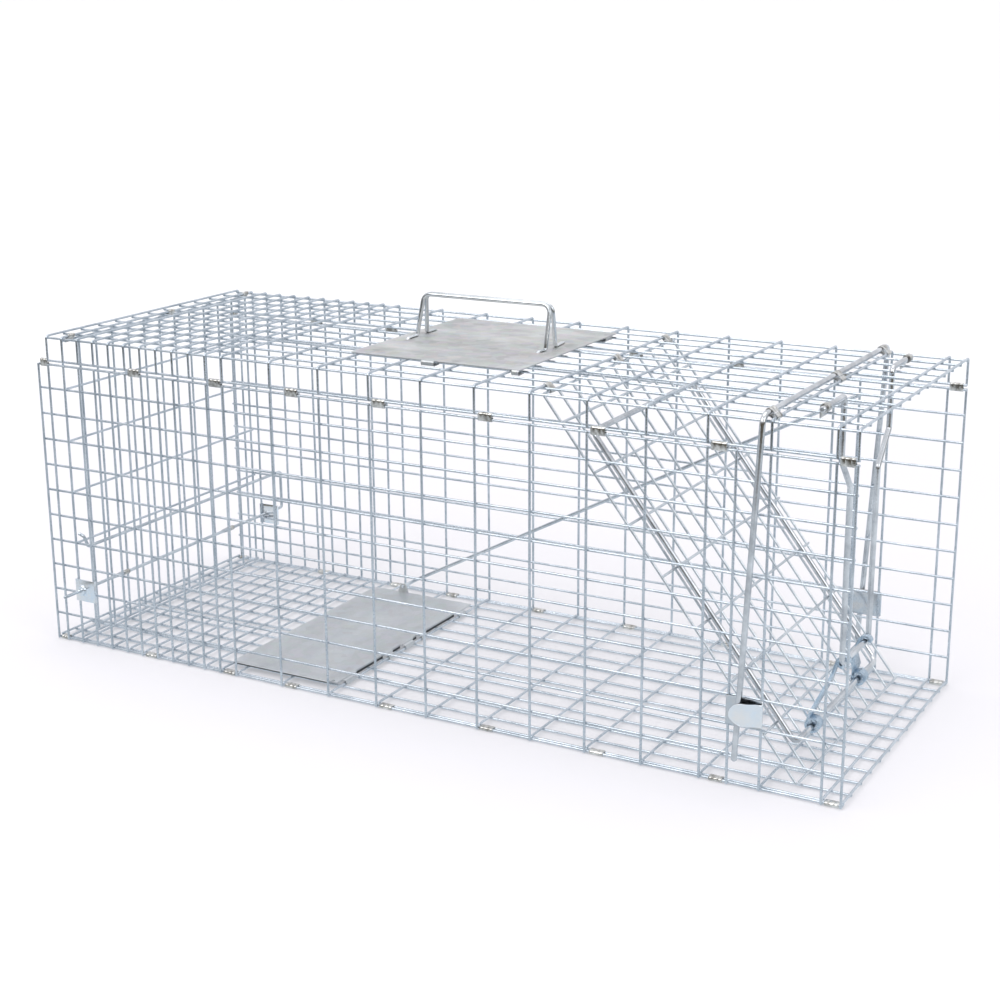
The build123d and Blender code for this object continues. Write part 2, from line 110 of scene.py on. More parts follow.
def colour_mix(tree, blend_type="MIX"):
    """Mix node for colours: socket 0 is the share, 6 and 7 are the colours, output 2 is the result."""
    node = tree.nodes.new("ShaderNodeMix")
    node.data_type = "RGBA"
    node.blend_type = blend_type
    return node


def shaded(tree, colour, share):
    """A colour darkened to a share of itself."""
    node = tree.nodes.new("ShaderNodeVectorMath")
    node.operation = "SCALE"
    node_link(tree, colour, node.inputs[0])
    node_link(tree, share, node.inputs["Scale"])
    return node.outputs["Vector"]


def combine(tree, operation, first, second=None):
    """Math node on one or two values."""
    node = tree.nodes.new("ShaderNodeMath")
    node.operation = operation
    node_link(tree, first, node.inputs[0])
    if second is not None:
        node_link(tree, second, node.inputs[1])
    return node.outputs["Value"]


def axes_of(tree, vector):
    """Outputs X, Y and Z of a vector."""
    node = tree.nodes.new("ShaderNodeSeparateXYZ")
    node_link(tree, vector, node.inputs["Vector"])
    return node.outputs


WORN_EDGE = (0.80, 0.82, 0.84, 1.0)
SPANGLE_SCALE = 110.0
PAST_FADE = 0.3
BUMP_DEPTH = 0.0002


def metal(
    name, dark, light, rough, cloud, grain, bump,
    edge=0.0, spangle=0.0, streak=None, painted_shade_below=None, painted_shade_inside=None,
):
    """Zinc-like metal: cloudy tint, fine grain, uneven polish, optional spangle and drawn streaks.

    painted_shade_below (low, high, past_x, share): painted shade, darker below low, except beyond past_x.
    painted_shade_inside (near, far, share): painted shade, darker where it lies nearer the middle plane than
    near.
    """
    material = bpy.data.materials.new(name)
    material.use_nodes = True
    tree = material.node_tree
    nodes = tree.nodes
    shader = nodes["Principled BSDF"]
    place = nodes.new("ShaderNodeTexCoord")
    warp = nodes.new("ShaderNodeMapping")
    warp.inputs["Scale"].default_value = streak or (1.0, 1.0, 1.0)
    node_link(tree, place.outputs["Object"], warp.inputs["Vector"])

    clouds = nodes.new("ShaderNodeTexNoise")
    clouds.inputs["Scale"].default_value = cloud
    clouds.inputs["Detail"].default_value = 6.0
    clouds.inputs["Roughness"].default_value = 0.62
    node_link(tree, warp.outputs["Vector"], clouds.inputs["Vector"])

    tint = nodes.new("ShaderNodeValToRGB")
    tint.color_ramp.elements[0].position = 0.33
    tint.color_ramp.elements[0].color = (*dark, 1.0)
    tint.color_ramp.elements[1].position = 0.67
    tint.color_ramp.elements[1].color = (*light, 1.0)
    node_link(tree, clouds.outputs["Fac"], tint.inputs["Fac"])
    colour = tint.outputs["Color"]

    if spangle:
        crystals = nodes.new("ShaderNodeTexVoronoi")
        crystals.inputs["Scale"].default_value = SPANGLE_SCALE
        crystals.inputs["Randomness"].default_value = 1.0
        node_link(tree, place.outputs["Object"], crystals.inputs["Vector"])
        flake = colour_mix(tree, "OVERLAY")
        flake.inputs[0].default_value = spangle
        node_link(tree, colour, flake.inputs[6])
        node_link(tree, crystals.outputs["Color"], flake.inputs[7])
        faded = nodes.new("ShaderNodeHueSaturation")
        faded.inputs["Saturation"].default_value = 0.35
        node_link(tree, flake.outputs[2], faded.inputs["Color"])
        colour = faded.outputs["Color"]

    if edge:
        rim = nodes.new("ShaderNodeNewGeometry")
        worn = colour_mix(tree)
        node_link(tree, remap(tree, rim.outputs["Pointiness"], 0.52, 0.62, 0.0, edge), worn.inputs[0])
        node_link(tree, colour, worn.inputs[6])
        worn.inputs[7].default_value = WORN_EDGE
        colour = worn.outputs[2]

    # Painted shade: darker where the piece lies nearer the middle plane.
    if painted_shade_inside:
        near, far, share = painted_shade_inside
        outward = combine(tree, "ABSOLUTE", axes_of(tree, place.outputs["Object"])["Y"])
        colour = shaded(tree, colour, remap(tree, outward, near * MM, far * MM, share))

    # Painted shade: darker below a height, except beyond past_x.
    if painted_shade_below:
        low, high, past_x, share = painted_shade_below
        axes = axes_of(tree, place.outputs["Object"])
        fade = remap(tree, axes["Z"], low * MM, high * MM, share)
        past = remap(tree, axes["X"], past_x * MM, (past_x + PAST_FADE) * MM)
        colour = shaded(tree, colour, combine(tree, "MAXIMUM", fade, past))

    fine = nodes.new("ShaderNodeTexNoise")
    fine.inputs["Scale"].default_value = grain
    fine.inputs["Detail"].default_value = 4.0
    node_link(tree, warp.outputs["Vector"], fine.inputs["Vector"])
    polish = remap(tree, fine.outputs["Fac"], 0.3, 0.7, rough[0], rough[1])

    relief = nodes.new("ShaderNodeBump")
    relief.inputs["Strength"].default_value = bump
    relief.inputs["Distance"].default_value = BUMP_DEPTH
    node_link(tree, fine.outputs["Fac"], relief.inputs["Height"])

    shader.inputs["Metallic"].default_value = 1.0
    node_link(tree, colour, shader.inputs["Base Color"])
    node_link(tree, polish, shader.inputs["Roughness"])
    node_link(tree, relief.outputs["Normal"], shader.inputs["Normal"])
    return material


KEEPER_LOOK = ((0.80, 0.90, 1.0), (1.0, 0.95, 0.91), (0.10, 0.24), 60, 700, 0.15, 0.4)

# Painted shade, where light alone left a place paler than the photo: keeper base, pan slots, plate tabs.
KEEPER_SHADE = (151.6, 152.4, 0.70)
PAN_SHADE = (6.3, 7.0, -83.9, 0.16)
PLATE_SHADE = (plate_high.z - 2.0, plate_high.z - 1.2, 500, 0.74)

FINISH = {
    "mesh_wire": metal(
        "zinc_mesh_wire", (0.48, 0.53, 0.58), (0.72, 0.76, 0.81), (0.16, 0.36), 45, 900, 0.25
    ),
    # The door's copy of the mesh wire: its paler tint is a painted highlight, and its lower roughness is a
    # shinier finish.
    "door_wire": metal(
        "zinc_door_wire_painted_highlight", (0.54, 0.58, 0.62), (0.80, 0.83, 0.86), (0.14, 0.30), 45, 900, 0.25
    ),
    "frame_rod": metal(
        "zinc_rod", (0.47, 0.48, 0.50), (0.80, 0.81, 0.83), (0.06, 0.20), 38, 700, 0.2
    ),
    "spring_wire": metal(
        "zinc_spring_wire", (0.50, 0.54, 0.58), (0.76, 0.80, 0.84), (0.14, 0.30), 40, 800, 0.2
    ),
    "clip_sheet": metal(
        "crimped_clip_zinc", (0.26, 0.245, 0.22), (0.88, 0.86, 0.82), (0.08, 0.24), 170, 1200, 0.4, 0.5
    ),
    "link_plate": metal(
        "blue_zinc_plate", (0.28, 0.39, 0.50), (0.60, 0.70, 0.80), (0.16, 0.34), 90, 900, 0.3, 0.5
    ),
    "keeper_sheet": metal("keeper_zinc", *KEEPER_LOOK),
    "folded_keeper_sheet": metal("folded_keeper_zinc", *KEEPER_LOOK, painted_shade_inside=KEEPER_SHADE),
    "pan_sheet": metal(
        "pan_galvanised", (0.50, 0.53, 0.56), (0.63, 0.66, 0.69), (0.42, 0.6), 18, 1100, 0.3, 0.4, 0.08,
        (1, 0.35, 1), painted_shade_below=PAN_SHADE,
    ),
    "guard_sheet": metal(
        "guard_galvanised", (0.46, 0.45, 0.435), (0.66, 0.65, 0.63), (0.42, 0.64), 30, 1100, 0.4, 0.4, 0.14,
        (0.55, 1, 1), painted_shade_below=PLATE_SHADE,
    ),
    "handle_wire": metal(
        "bright_handle_zinc", (0.52, 0.55, 0.57), (0.76, 0.78, 0.80), (0.08, 0.2), 35, 800, 0.15
    ),
}


# ---------------------------------------------------------------------------
# Mesh building
# ---------------------------------------------------------------------------
SMOOTH_ANGLE = math.radians(38)


def add_piece(name, mesh, finish, body, nodes):
    """Puts a mesh in the scene with its finish, on its body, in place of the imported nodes."""
    piece = bpy.data.objects.new(name, mesh)
    bpy.context.scene.collection.objects.link(piece)
    mesh.materials.clear()
    mesh.materials.append(FINISH[finish])
    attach(piece, body)
    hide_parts(*nodes)


class Shape:
    """Collects vertices and faces in millimetres for one piece."""

    def __init__(self):
        self.points = []
        self.faces = []

    def add(self, points, faces):
        base = len(self.points)
        self.points += [tuple(p) for p in points]
        self.faces += [tuple(base + i for i in face) for face in faces]

    def make(self, name, body, slot, nodes, finish=None):
        mesh = bpy.data.meshes.new(name)
        mesh.from_pydata([(x * MM, y * MM, z * MM) for x, y, z in self.points], [], self.faces)
        mesh.validate()
        mesh.update()
        mesh.shade_smooth()
        mesh.set_sharp_from_angle(angle=SMOOTH_ANGLE)
        add_piece(name, mesh, finish or slot, body, nodes)


def rings_to_faces(count, sides, start_cap=True, end_cap=True):
    """Quads between consecutive rings, with flat caps."""
    faces = []
    for r in range(count - 1):
        for s in range(sides):
            n = (s + 1) % sides
            faces.append((r * sides + s, r * sides + n, (r + 1) * sides + n, (r + 1) * sides + s))
    if start_cap:
        faces.append(tuple(range(sides - 1, -1, -1)))
    if end_cap:
        faces.append(tuple((count - 1) * sides + s for s in range(sides)))
    return faces


def tube(shape, path, radius, sides=12, closed=False, chamfer=0.3, squash=None):
    """Round wire along a path; squash(point) tells how flat it has been pressed there, 1 = round."""
    path = [Vector(p) for p in path]
    count = len(path)
    directions = []
    for i in range(count):
        before = path[i - 1] if (i or closed) else path[i]
        after = path[(i + 1) % count] if (i < count - 1 or closed) else path[i]
        directions.append((after - before).normalized())
    helper = Vector((0, 0, 1)) if abs(directions[0].z) < 0.9 else Vector((1, 0, 0))
    normal = directions[0].cross(helper).normalized()
    rings = []
    for i, point in enumerate(path):
        if i:
            turn = directions[i - 1].rotation_difference(directions[i])
            normal = turn @ normal
        normal = (normal - directions[i] * normal.dot(directions[i])).normalized()
        side = directions[i].cross(normal)
        rings.append((point, normal * radius, side * radius))
    if closed:
        placed = rings
    else:
        first, last = rings[0], rings[-1]
        inset = chamfer * radius
        placed = [
            (first[0], first[1] * (1 - chamfer), first[2] * (1 - chamfer)),
            (first[0] + directions[0] * inset, first[1], first[2]),
            *rings[1:-1],
            (last[0] - directions[-1] * inset, last[1], last[2]),
            (last[0], last[1] * (1 - chamfer), last[2] * (1 - chamfer)),
        ]
    points = []
    for centre, u, v in placed:
        press = squash(centre) if squash else 1.0
        for s in range(sides):
            a = 2 * math.pi * s / sides
            offset = u * math.cos(a) + v * math.sin(a)
            pressed = Vector((offset.x, offset.y, offset.z * press))
            points.append(centre + pressed - Vector((0, 0, radius * (1 - press))))
    faces = rings_to_faces(len(placed), sides, not closed, not closed)
    if closed:
        end = (len(placed) - 1) * sides
        turned = min(range(sides), key=lambda k: (points[end + k] - points[0]).length)
        for s in range(sides):
            n = (s + 1) % sides
            faces.append((end + (s + turned) % sides, end + (n + turned) % sides, n, s))
    shape.add(points, faces)


def bends(corners, radius, arc_steps=8, closed=False):
    """Path through the corners with rounded bends."""
    corners = [Vector(c) for c in corners]
    radii = radius if isinstance(radius, (list, tuple)) else [radius] * len(corners)
    path = []
    count = len(corners)
    for i, corner in enumerate(corners):
        if not closed and i in (0, count - 1):
            path.append(corner)
            continue
        before = (corners[i - 1] - corner).normalized()
        after = (corners[(i + 1) % count] - corner).normalized()
        half = before.angle(after) / 2
        reach = radii[i] / math.tan(half)
        middle = corner + (before + after).normalized() * (radii[i] / math.sin(half))
        start = corner + before * reach - middle
        end = corner + after * reach - middle
        sweep = start.angle(end)
        for k in range(arc_steps + 1):
            t = k / arc_steps
            point = (start * math.sin((1 - t) * sweep) + end * math.sin(t * sweep)) / math.sin(sweep)
            path.append(middle + point)
    return path


def split(path, step):
    """The same path with long straight runs cut into shorter ones."""
    result = [Vector(path[0])]
    for point in path[1:]:
        start = result[-1]
        parts = max(1, int((Vector(point) - start).length / step))
        for k in range(1, parts + 1):
            result.append(start.lerp(Vector(point), k / parts))
    return result


SHORT_WAVE = (90, 170)
LONG_WAVE = (240, 420)


def wavy(path, amount):
    """Real wire is never quite straight: a slow, tiny wander off the line."""
    phase = [rng.uniform(0, 2 * math.pi) for _ in range(4)]
    pitch = [rng.uniform(*SHORT_WAVE), rng.uniform(*LONG_WAVE)]
    travelled = 0.0
    result = []
    for i, point in enumerate(path):
        if i:
            travelled += (Vector(point) - Vector(path[i - 1])).length
        u = math.sin(travelled / pitch[0] * 2 * math.pi + phase[0])
        v = math.sin(travelled / pitch[1] * 2 * math.pi + phase[1])
        w = math.sin(travelled / pitch[0] * 2 * math.pi + phase[2])
        drift = Vector((u * 0.6 + v * 0.4, w * 0.6 - v * 0.4, v * 0.5 + w * 0.5))
        result.append(Vector(point) + drift * amount)
    return result


def loose_parts(node):
    """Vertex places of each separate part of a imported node, in millimetres."""
    mesh = frame["nodes"][node].data
    places = np.zeros(len(mesh.vertices) * 3)
    mesh.vertices.foreach_get("co", places)
    places = places.reshape(-1, 3) / MM
    _, same = np.unique(np.round(places * 1000).astype(np.int64), axis=0, return_inverse=True)
    same = same.reshape(-1)
    ends = np.zeros(len(mesh.edges) * 2, np.int64)
    mesh.edges.foreach_get("vertices", ends)
    ends = same[ends.reshape(-1, 2)]
    label = np.arange(same.max() + 1)
    while True:
        lowest = np.minimum(label[ends[:, 0]], label[ends[:, 1]])
        updated = label.copy()
        np.minimum.at(updated, ends[:, 0], lowest)
        np.minimum.at(updated, ends[:, 1], lowest)
        if (updated == label).all():
            break
        label = updated
    group = label[same]
    return [places[group == value] for value in np.unique(group)]


def loose_boxes(node):
    """(lowest, highest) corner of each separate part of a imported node, in millimetres."""
    return [(Vector(part.min(0)), Vector(part.max(0))) for part in loose_parts(node)]


def cad_wires(node):
    """(start, end, radius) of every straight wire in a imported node, in millimetres."""
    wires = []
    for part in loose_parts(node):
        cloud = np.unique(np.round(part, 3), axis=0)
        centre = (cloud.max(0) + cloud.min(0)) / 2
        _, _, axes = np.linalg.svd(cloud - cloud.mean(0), full_matrices=False)
        along = (cloud - centre) @ axes[0]
        radial = (cloud - centre) - np.outer(along, axes[0])
        radius = float(np.linalg.norm(radial, axis=1).max())
        start = Vector(centre + axes[0] * along.min())
        end = Vector(centre + axes[0] * along.max())
        wires.append((start, end, radius))
    return wires


def runs_along(wire, axis):
    """True if a wire lies within about 26 degrees of axis 0, 1 or 2."""
    return abs((wire[1] - wire[0]).normalized()[axis]) > 0.9


WELD_REACH = 0.2


def weld_spots(shape, wires, others):
    """Small squeezed nugget wherever two wires cross."""
    for a0, a1, ra in wires:
        for b0, b1, rb in others:
            direction = (a1 - a0).normalized().dot((b1 - b0).normalized())
            if abs(direction) > 0.9:
                continue
            pair = intersect_line_line(a0, a1, b0, b1)
            if pair is None:
                continue
            near_a, near_b = pair
            if (near_a - near_b).length > ra + rb + WELD_REACH:
                continue
            if not within(near_a, a0, a1) or not within(near_b, b0, b1):
                continue
            up, along = (near_b - near_a).normalized(), (a1 - a0).normalized()
            nugget(shape, (near_a + near_b) / 2, up, along)


def within(point, start, end):
    """True if a point lies on a wire, give or take a millimetre."""
    span = end - start
    t = (point - start).dot(span) / span.length
    return -1.0 < t < span.length + 1.0


def nugget(shape, centre, up, along):
    """Flattened lump of weld metal between two crossing wires."""
    side = up.cross(along).normalized()
    wide = 1.02 + rng.uniform(0, 0.22)
    points = []
    levels = (-0.8, -0.35, 0.35, 0.8)
    for level in levels:
        reach = wide * math.sqrt(1 - (level * 0.95) ** 2)
        for k in range(8):
            a = k * math.pi / 4
            around = (along * math.cos(a) + side * math.sin(a)) * reach
            points.append(centre + around + up * level * 0.9)
    shape.add(points, rings_to_faces(len(levels), 8))


HOOP_BEND = 2.4
MESH_STEP = 18.0
MESH_WANDER = 0.08


def mesh_wire(shape, path, radius):
    """One mesh wire, drawn ZINC larger than packed."""
    tube(shape, wavy(split(path, MESH_STEP), MESH_WANDER), radius + ZINC, 12)


def mesh_panel(node, body, hoops=False):
    """Welded wire panel: every wire with rounded cut ends, and a weld at each crossing."""
    shape = Shape()
    wires = cad_wires(node)
    straight = wires
    if hoops:
        edge = top_high.y - WIRE
        corner_z = top_high.z - WIRE
        lowest = min(min(a.z, b.z) for a, b, _ in wires)
        spans = [w for w in wires if runs_along(w, 1)]
        straight = [w for w in wires if runs_along(w, 0)]
        hoop_wires = []
        for x in sorted({round((a.x + b.x) / 2, 2) for a, b, _ in spans}):
            turns = ((-edge, lowest), (-edge, corner_z), (edge, corner_z), (edge, lowest))
            corners = [Vector((x, y, z)) for y, z in turns]
            mesh_wire(shape, bends(corners, HOOP_BEND, 6), WIRE)
            hoop_wires += [(corners[i], corners[i + 1], WIRE) for i in range(3)]
        weld_spots(shape, straight, hoop_wires)
    else:
        cross_axis = 2 if node.endswith("side_panel") else 1
        across = [w for w in wires if runs_along(w, cross_axis)]
        lengthwise = [w for w in wires if not runs_along(w, cross_axis)]
        weld_spots(shape, across, lengthwise)
    for a, b, radius in straight:
        mesh_wire(shape, [a, b], radius)
    # The door takes the paler copy of the mesh wire, a painted highlight.
    finish = "door_wire" if node == "door_panel" else None
    shape.make(node + "_wires", body, "mesh_wire", [node], finish)


SEAM_GAP = 0.25
CLIP_GAP = 0.07
CLIP_WALL = 0.85


def hull_loop(distance, first, second, steps=12):
    """Outline round two circles as (x, y) points, from one side of the seam round to the other."""
    lean = math.acos(max(-1.0, min(1.0, (first - second) / distance)))
    points = []
    for k in range(steps + 1):
        a = -lean + 2 * lean * k / steps
        points.append((distance + second * math.cos(a), second * math.sin(a)))
    for k in range(steps + 1):
        a = lean + (2 * math.pi - 2 * lean) * k / steps
        points.append((first * math.cos(a), first * math.sin(a)))
    start = points[0]
    end = points[-1]
    middle = ((start[0] + end[0]) / 2, (start[1] + end[1]) / 2)
    gap = Vector((start[0] - end[0], start[1] - end[1])).normalized() * SEAM_GAP
    return [(middle[0] + gap.x, middle[1] + gap.y)] + points + [(middle[0] - gap.x, middle[1] - gap.y)]


def crimped_clip(shape, first, second, along, length, r_first, r_second, wall=CLIP_WALL):
    """Strip of sheet wrapped round two wires; its ends meet at a seam, and two crimps press it in."""
    reach = second - first
    u = reach.normalized()
    w = along.normalized()
    v = w.cross(u)
    # Four draws for each clip; only the first is used, and shifts it.
    wobble = [rng.uniform(-0.05, 0.05) for _ in range(4)]
    stations = [
        (0.0, 0.30), (0.35, 0.05), (0.24 * length, 0.0), (0.30 * length, 0.26), (0.36 * length, 0.0),
        (0.5 * length, 0.04), (0.64 * length, 0.0), (0.70 * length, 0.26), (0.76 * length, 0.0),
        (length - 0.35, 0.05), (length, 0.30),
    ]
    bore_first, bore_second = r_first + CLIP_GAP, r_second + CLIP_GAP
    count = len(hull_loop(reach.length, bore_first, bore_second))
    points = []
    for at, press in stations:
        outer = hull_loop(reach.length, bore_first + wall - press, bore_second + wall - press)
        flare = 0.08 if at in (0.0, length) else 0.0
        inner = hull_loop(reach.length, bore_first + flare, bore_second + flare)
        base = first + w * (at - length / 2)
        for x, y in outer + inner[::-1]:
            points.append(base + u * (x + wobble[0] * 0.4) + v * y)
    sides = 2 * count
    faces = []
    for r in range(len(stations) - 1):
        for s in range(sides):
            n = (s + 1) % sides
            faces.append((r * sides + s, r * sides + n, (r + 1) * sides + n, (r + 1) * sides + s))
    for base, flip in ((0, True), ((len(stations) - 1) * sides, False)):
        for s in range(count - 1):
            face = (base + s, base + s + 1, base + sides - 2 - s, base + sides - 1 - s)
            faces.append(tuple(reversed(face)) if flip else face)
    shape.add(points, faces)


def strip(shape, path, half_widths, thickness, across, middle, u, v):
    """Bent strip of sheet along (u, v) points, with its half widths measured along across."""
    count = len(path)
    flat = [Vector(p) for p in path]
    points = []
    for i, p in enumerate(flat):
        before = flat[max(0, i - 1)]
        after = flat[min(count - 1, i + 1)]
        tangent = (after - before).normalized()
        normal = Vector((-tangent.y, tangent.x))
        half = half_widths[i] if isinstance(half_widths, (list, tuple)) else half_widths
        soft = min(0.25, thickness * 0.3)
        for side, lift in ((-1, -1), (-1, 1), (1, 1), (1, -1)):
            edge = half - soft
            for first in ((True, False) if side * lift > 0 else (False, True)):
                reach = (half if first else edge) * side
                depth = (thickness / 2 - (soft if first else 0.0)) * lift
                place = p + normal * depth
                points.append(middle + across * reach + u * place.x + v * place.y)
    shape.add(points, rings_to_faces(count, 8))


def arc(cx, cy, radius, start, end, steps=10):
    """Points on an arc, angles in degrees."""
    return [
        (
            cx + radius * math.cos(math.radians(start + (end - start) * k / steps)),
            cy + radius * math.sin(math.radians(start + (end - start) * k / steps)),
        )
        for k in range(steps + 1)
    ]


def sheet(shape, outline, holes, low, high, grid, place):
    """Flat sheet cut to an outline with holes; place(x, y, level) gives its shape in space."""
    points = []
    edges = []
    for loop in [outline] + holes:
        base = len(points)
        dense = []
        for i, p in enumerate(loop):
            q = loop[(i + 1) % len(loop)]
            length = math.hypot(q[0] - p[0], q[1] - p[1])
            parts = max(1, int(length / grid))
            for k in range(parts):
                dense.append((p[0] + (q[0] - p[0]) * k / parts, p[1] + (q[1] - p[1]) * k / parts))
        points += [Vector(p) for p in dense]
        edges += [(base + i, base + (i + 1) % len(dense)) for i in range(len(dense))]
    xs = [p[0] for p in outline]
    ys = [p[1] for p in outline]
    border = list(points)
    x = min(xs) + grid / 2
    while x < max(xs):
        y = min(ys) + grid / 2
        while y < max(ys):
            candidate = Vector((x, y))
            if min((candidate - b).length for b in border) > grid * 0.45:
                points.append(candidate)
            y += grid
        x += grid
    verts, _, tris, _, _, _ = delaunay_2d_cdt(points, edges, [], 2, 1e-5)
    used = {}
    for tri in tris:
        for i in range(3):
            a, b = tri[i], tri[(i + 1) % 3]
            used[(a, b)] = used.get((a, b), 0) + 1
    count = len(verts)
    placed = [place(p.x, p.y, high) for p in verts] + [place(p.x, p.y, low) for p in verts]
    faces = [tuple(t) for t in tris] + [tuple(count + i for i in reversed(t)) for t in tris]
    for a, b in used:
        if (b, a) not in used:
            faces.append((b, a, count + a, count + b))
    shape.add(placed, faces)


def rounded_box(x0, y0, x1, y1, radius, steps=5):
    """Rectangle outline with rounded corners."""
    corners = [
        (x1 - radius, y0 + radius, -90), (x1 - radius, y1 - radius, 0),
        (x0 + radius, y1 - radius, 90), (x0 + radius, y0 + radius, 180),
    ]
    loop = []
    for cx, cy, start in corners:
        loop += arc(cx, cy, radius, start, start + 90, steps)
    return loop


X, Y, Z = Vector((1, 0, 0)), Vector((0, 1, 0)), Vector((0, 0, 1))

# ---------------------------------------------------------------------------
# Cage panels
# ---------------------------------------------------------------------------
for panel in ("floor_panel", "right_side_panel", "left_side_panel", "rear_panel"):
    mesh_panel(panel, "cage")
mesh_panel("top_panel", "cage", hoops=True)
mesh_panel("door_panel", "door")

# ---------------------------------------------------------------------------
# Clips: each packed clip gives the place and the length of its crimped band
# ---------------------------------------------------------------------------
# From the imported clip's outside to a wire's centre, and to a wire's surface.
SEAM_CLIP_TO_WIRE = 2.01
CLIP_TO_WIRE_SURFACE = 0.97
CROSS_CLIP_WALL = 0.88

row_y = top_high.y - WIRE - 2.0
floor_edge_y = floor_high.y - 1.5
for side, label in ((-1, "right"), (1, "left")):
    band = Shape()
    for low, high in loose_boxes(label + "_top_seam_clips"):
        x = (low.x + high.x) / 2
        first = Vector((x, side * row_y, low.z + SEAM_CLIP_TO_WIRE))
        second = Vector((x, side * row_y, high.z - SEAM_CLIP_TO_WIRE))
        crimped_clip(band, first, second, X, high.x - low.x, WIRE, WIRE)
    band.make(label + "_top_seam_clip_bands", "cage", "clip_sheet", [label + "_top_seam_clips"])
    band = Shape()
    for low, high in loose_boxes(label + "_floor_seam_clips"):
        x = (low.x + high.x) / 2
        z = (low.z + high.z) / 2
        first = Vector((x, side * floor_edge_y, z))
        second = Vector((x, side * row_y, z))
        crimped_clip(band, first, second, X * side, high.x - low.x, WIRE, WIRE)
    band.make(label + "_floor_seam_clip_bands", "cage", "clip_sheet", [label + "_floor_seam_clips"])


def cross_clip_row(node, name, near_radius, far_radius, near_low):
    """Crimped bands round two wires across the cage; near_low: is the first wire the lower in x, in z."""
    band = Shape()
    near = near_radius + CLIP_TO_WIRE_SURFACE
    far = far_radius + CLIP_TO_WIRE_SURFACE
    for low, high in loose_boxes(node):
        y = (low.y + high.y) / 2
        first_x, second_x = (low.x + near, high.x - far) if near_low[0] else (high.x - near, low.x + far)
        first_z, second_z = (low.z + near, high.z - far) if near_low[1] else (high.z - near, low.z + far)
        first = Vector((first_x, y, first_z))
        second = Vector((second_x, y, second_z))
        crimped_clip(band, first, second, Y, high.y - low.y, near_radius, far_radius, CROSS_CLIP_WALL)
    band.make(name, "cage", "clip_sheet", [node])


cross_clip_row("rear_panel_clips", "rear_panel_clip_bands", WIRE, WIRE, (True, True))
cross_clip_row("door_hinge_clips", "door_hinge_clip_bands", WIRE, WIRE, (False, True))
cross_clip_row("brace_frame_clips", "brace_clip_bands", ROD, WIRE, (True, False))
cross_clip_row("rear_lock_rod_clips", "rear_lock_clip_bands", HAIRPIN, WIRE, (False, False))

# ---------------------------------------------------------------------------
# Rods
# ---------------------------------------------------------------------------
def rod_piece(name, node, body, slot, path, radius, sides=18, wander=0.12):
    """A bent rod or wire."""
    shape = Shape()
    tube(shape, wavy(split(path, 14.0), wander), radius, sides)
    shape.make(name, body, slot, [node])


lock_x = (lock_low.x + lock_high.x) / 2
pin_z = lock_high.z - ROD
bar_z = lock_low.z + ROD
# (y, z) of the bends of the lock frame's leg, from its pin to its crossbar.
lock_bends = [(lock_high.y, pin_z), (62.0, pin_z), (62.0, 258.0), (36.0, 230.0), (35.0, bar_z)]
lock_half = [(lock_x, y, z) for y, z in lock_bends]
lock_other = [(x, -y, z) for x, y, z in reversed(lock_half)]
rod_piece("lock_frame_rod", "lock_frame", "lock_frame", "frame_rod", bends(lock_half + lock_other, 5.0), ROD)

brace_y = brace_high.y - ROD
brace_top = (brace_high.x - ROD, brace_high.z - ROD)
brace_foot = (brace_low.x + ROD, brace_low.z + 0.13)
brace_path = [
    (brace_foot[0], -brace_y, brace_foot[1]), (brace_top[0], -brace_y, brace_top[1]),
    (brace_top[0], brace_y, brace_top[1]), (brace_foot[0], brace_y, brace_foot[1]),
]
rod_piece(
    "brace_frame_rod", "brace_frame", "brace_frame", "frame_rod", bends(brace_path, 8.0), ROD, wander=0.05
)

hinge = joint_point("door_swing")
door_across = [w for w in cad_wires("door_panel") if runs_along(w, 1)]
bottom_wire = min(door_across, key=lambda w: w[0].z)
slope_vector = Vector((bottom_wire[0].x - hinge.x, 0, bottom_wire[0].z - hinge.z))
down = slope_vector.normalized()
lift = Vector((-down.z, 0, down.x))


def on_door(along, height, y):
    """A point in the door's own plane: down its slope from the hinge, and off its face."""
    return Vector((hinge.x, y, hinge.z)) + down * along + lift * height


# The stiffener's upper and lower rod down the door's slope, its half width, and its height off the door.
STIFFENER_TOP, STIFFENER_FOOT = 46, 350
STIFFENER_HALF = 105
STIFFENER_LIFT = 3.6
stiffener = [
    on_door(along, STIFFENER_LIFT, y)
    for along, y in (
        (STIFFENER_TOP, STIFFENER_HALF), (STIFFENER_FOOT, STIFFENER_HALF),
        (STIFFENER_FOOT, -STIFFENER_HALF), (STIFFENER_TOP, -STIFFENER_HALF),
    )
]
frame_shape = Shape()
tube(frame_shape, bends(stiffener, 7.0, closed=True), ROD, 18, closed=True)
frame_shape.make("door_stiffener_rod", "door", "frame_rod", ["door_stiffener_frame"])

hairpin_x = hairpin_high.x - HAIRPIN
lower_leg_z = hairpin_low.z + HAIRPIN
upper_leg_z = 98.5
turn_y = hairpin_high.y - HAIRPIN
hook_y = -143.0
hairpin = [
    (hairpin_x, hairpin_low.y, lower_leg_z), (hairpin_x, turn_y, lower_leg_z),
    (hairpin_x, turn_y, upper_leg_z), (hairpin_x, -138.0, upper_leg_z),
    (hairpin_x, hook_y, 110.0), (hairpin_low.x, hook_y, 112.0),
]
rod_piece(
    "rear_lock_hairpin", "rear_lock_rod", "rear_lock_rod", "spring_wire", bends(hairpin, 3.0), HAIRPIN, 16,
    wander=0.04,
)

pin = joint_point("trigger_rod_tilt")
trigger_y = trigger_high.y - TRIGGER
trigger_hook_y = 112.6
trigger = [
    (pin.x, trigger_hook_y, pin.z), (pin.x, trigger_y, pin.z),
    (trigger_high.x - 0.84, trigger_y, trigger_high.z - 1.6),
]
rod_piece(
    "trigger_rod_wire", "trigger_rod", "trigger_rod", "spring_wire", bends(trigger, 3.0), TRIGGER, 16,
    wander=0.05,
)

